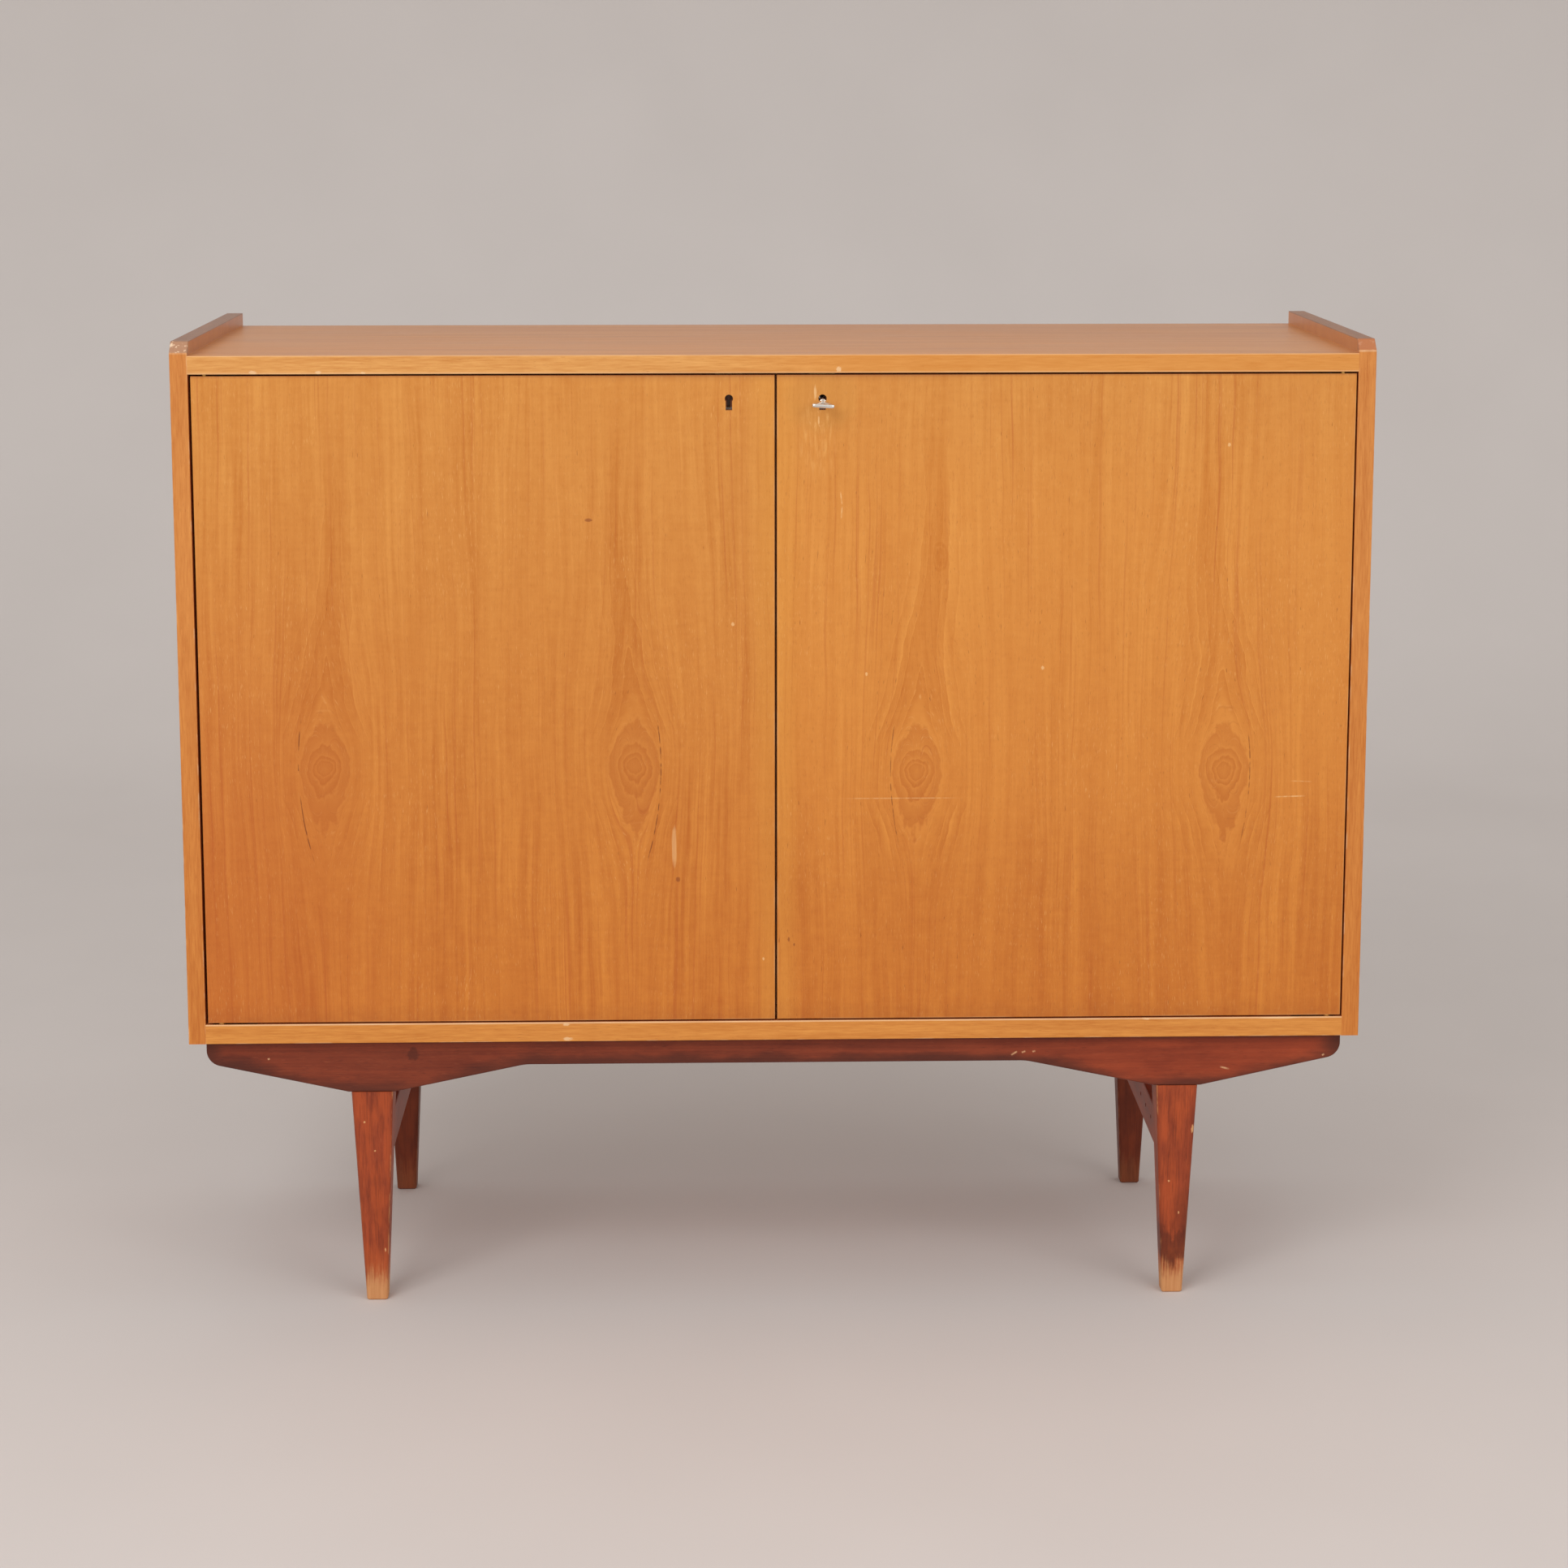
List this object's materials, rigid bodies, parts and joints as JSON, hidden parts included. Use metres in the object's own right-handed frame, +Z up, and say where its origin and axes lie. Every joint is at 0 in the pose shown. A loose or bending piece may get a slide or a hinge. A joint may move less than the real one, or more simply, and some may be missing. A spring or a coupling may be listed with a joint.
{
  "type": "sideboard",
  "caption": "Low wooden sideboard with inset hinged doors, a raised-side top, a lock with a turning key and a separate stand with a shaped apron and tapered legs.",
  "frame": {"origin": "middle of the overall box, on the floor", "axes": "+X to the right as seen from the doors, +Y to the back, +Z up"},
  "size_m": [1.3, 0.4478, 1.087],
  "materials": {
    "teak_veneer": "satin oiled veneer",
    "back_plywood": "plain sanded plywood",
    "stained_beech": "red-brown stain, satin lacquer, worn at the feet",
    "plain_beech": "raw turned dowel",
    "brass": "dulled sheet brass",
    "screw_steel": "slotted steel screws",
    "lock_steel": "dull sheet steel",
    "key_nickel": "worn nickel plate"
  },
  "bodies": {
    "carcass": {"left_side_panel": "teak_veneer", "right_side_panel": "teak_veneer", "top_board": "teak_veneer", "bottom_board": "teak_veneer", "back_panel": "back_plywood", "centre_partition": "teak_veneer", "left_shelf": "teak_veneer", "right_shelf": "teak_veneer", "shelf_pins": "brass", "carcass_dowels": "plain_beech", "back_panel_screws": "screw_steel", "front_apron": "stained_beech", "back_apron": "stained_beech", "front_left_leg": "stained_beech", "front_right_leg": "stained_beech", "back_left_leg": "stained_beech", "back_right_leg": "stained_beech", "left_stretcher": "stained_beech", "right_stretcher": "stained_beech", "leg_dowels": "plain_beech", "stretcher_dowels": "plain_beech", "stand_screws": "screw_steel", "left_strike_plate": "brass", "right_strike_plate": "brass", "strike_screws": "screw_steel", "left_top_pivot": "brass", "left_bottom_pivot": "brass", "right_top_pivot": "brass", "right_bottom_pivot": "brass", "pivot_screws": "screw_steel", "pivot_washers": "brass"},
    "left_door": {"left_door_panel": "teak_veneer", "left_door_top_plate": "brass", "left_door_bottom_plate": "brass", "left_door_plate_screws": "screw_steel", "left_lock_case": "lock_steel", "left_lock_plate": "brass", "left_lock_screws": "screw_steel"},
    "right_door": {"right_door_panel": "teak_veneer", "right_door_top_plate": "brass", "right_door_bottom_plate": "brass", "right_door_plate_screws": "screw_steel", "right_lock_case": "lock_steel", "right_lock_plate": "brass", "right_lock_screws": "screw_steel"},
    "left_bolt": {"left_lock_bolt": "lock_steel"},
    "right_bolt": {"right_lock_bolt": "lock_steel"},
    "key": {"key": "key_nickel"}
  },
  "joints": [
    {"name": "left_door_hinge", "type": "hinge", "parent": "carcass", "child": "left_door", "pos_m": [-0.614, -0.18964, 0.6915], "axis": [0, 0, -1], "range_deg": [0, 110]},
    {"name": "right_door_hinge", "type": "hinge", "parent": "carcass", "child": "right_door", "pos_m": [0.615, -0.18964, 0.6915], "axis": [0, 0, 1], "range_deg": [0, 110]},
    {"name": "key_turn", "type": "hinge", "parent": "right_door", "child": "key", "pos_m": [0.0505, -0.18189, 1.0245], "axis": [0, 0.9903, 0.1392], "range_deg": [0, 56]},
    {"name": "right_bolt_slide", "type": "slide", "parent": "right_door", "child": "right_bolt", "axis": [0, 0, 1], "range_m": [0, 0.0095]},
    {"name": "left_bolt_slide", "type": "slide", "parent": "left_door", "child": "left_bolt", "axis": [0, 0, 1], "range_m": [0, 0.008]}
  ],
  "couplings": [
    {"joint": "right_bolt_slide", "follows": "key_turn", "m_per_rad": 0.008185}
  ]
}
